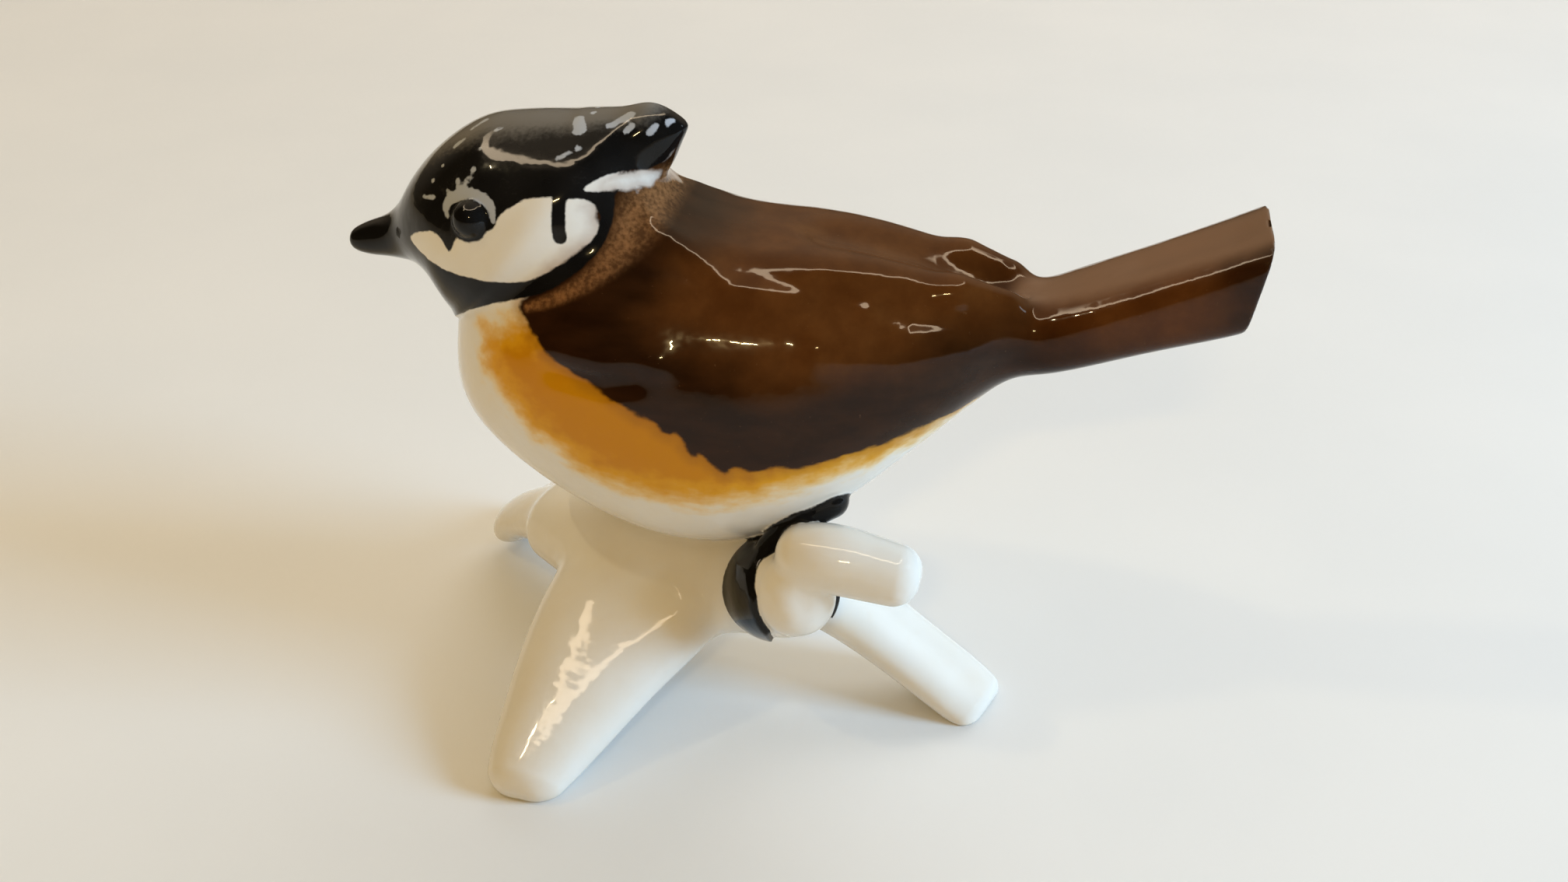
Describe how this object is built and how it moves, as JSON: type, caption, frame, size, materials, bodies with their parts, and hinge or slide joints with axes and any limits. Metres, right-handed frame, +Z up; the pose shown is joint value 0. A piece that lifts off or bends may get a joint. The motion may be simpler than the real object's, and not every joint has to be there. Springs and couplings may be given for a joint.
{
  "type": "porcelain bird figurine",
  "caption": "Glazed porcelain songbird with a short crest and a raised tail, perched on a white branch whose roots spread to form its legs.",
  "frame": {"origin": "middle of the figurine's bounding box, on the surface it stands on", "axes": "+X from the beak to the tail, +Z up, the bird's left side faces -Y"},
  "size_m": [0.12, 0.0694, 0.0824],
  "materials": {
    "body_glaze": "underglaze orange fading to cream, high gloss",
    "black_glaze": "painted black under high-gloss clear glaze",
    "brown_glaze": "painted chestnut brown under high-gloss clear glaze",
    "white_glaze": "white porcelain under high-gloss clear glaze"
  },
  "bodies": {
    "root": {"torso_shell": "body_glaze", "head_shell": "black_glaze", "crest": "black_glaze", "beak": "black_glaze", "left_eye": "black_glaze", "right_eye": "black_glaze", "left_wing": "brown_glaze", "right_wing": "brown_glaze", "tail": "brown_glaze", "left_foot": "black_glaze", "right_foot": "black_glaze", "trunk_shell": "white_glaze", "front_root": "white_glaze", "right_root": "white_glaze", "back_root": "white_glaze", "grip_stub": "white_glaze", "twig": "white_glaze"}
  },
  "joints": []
}
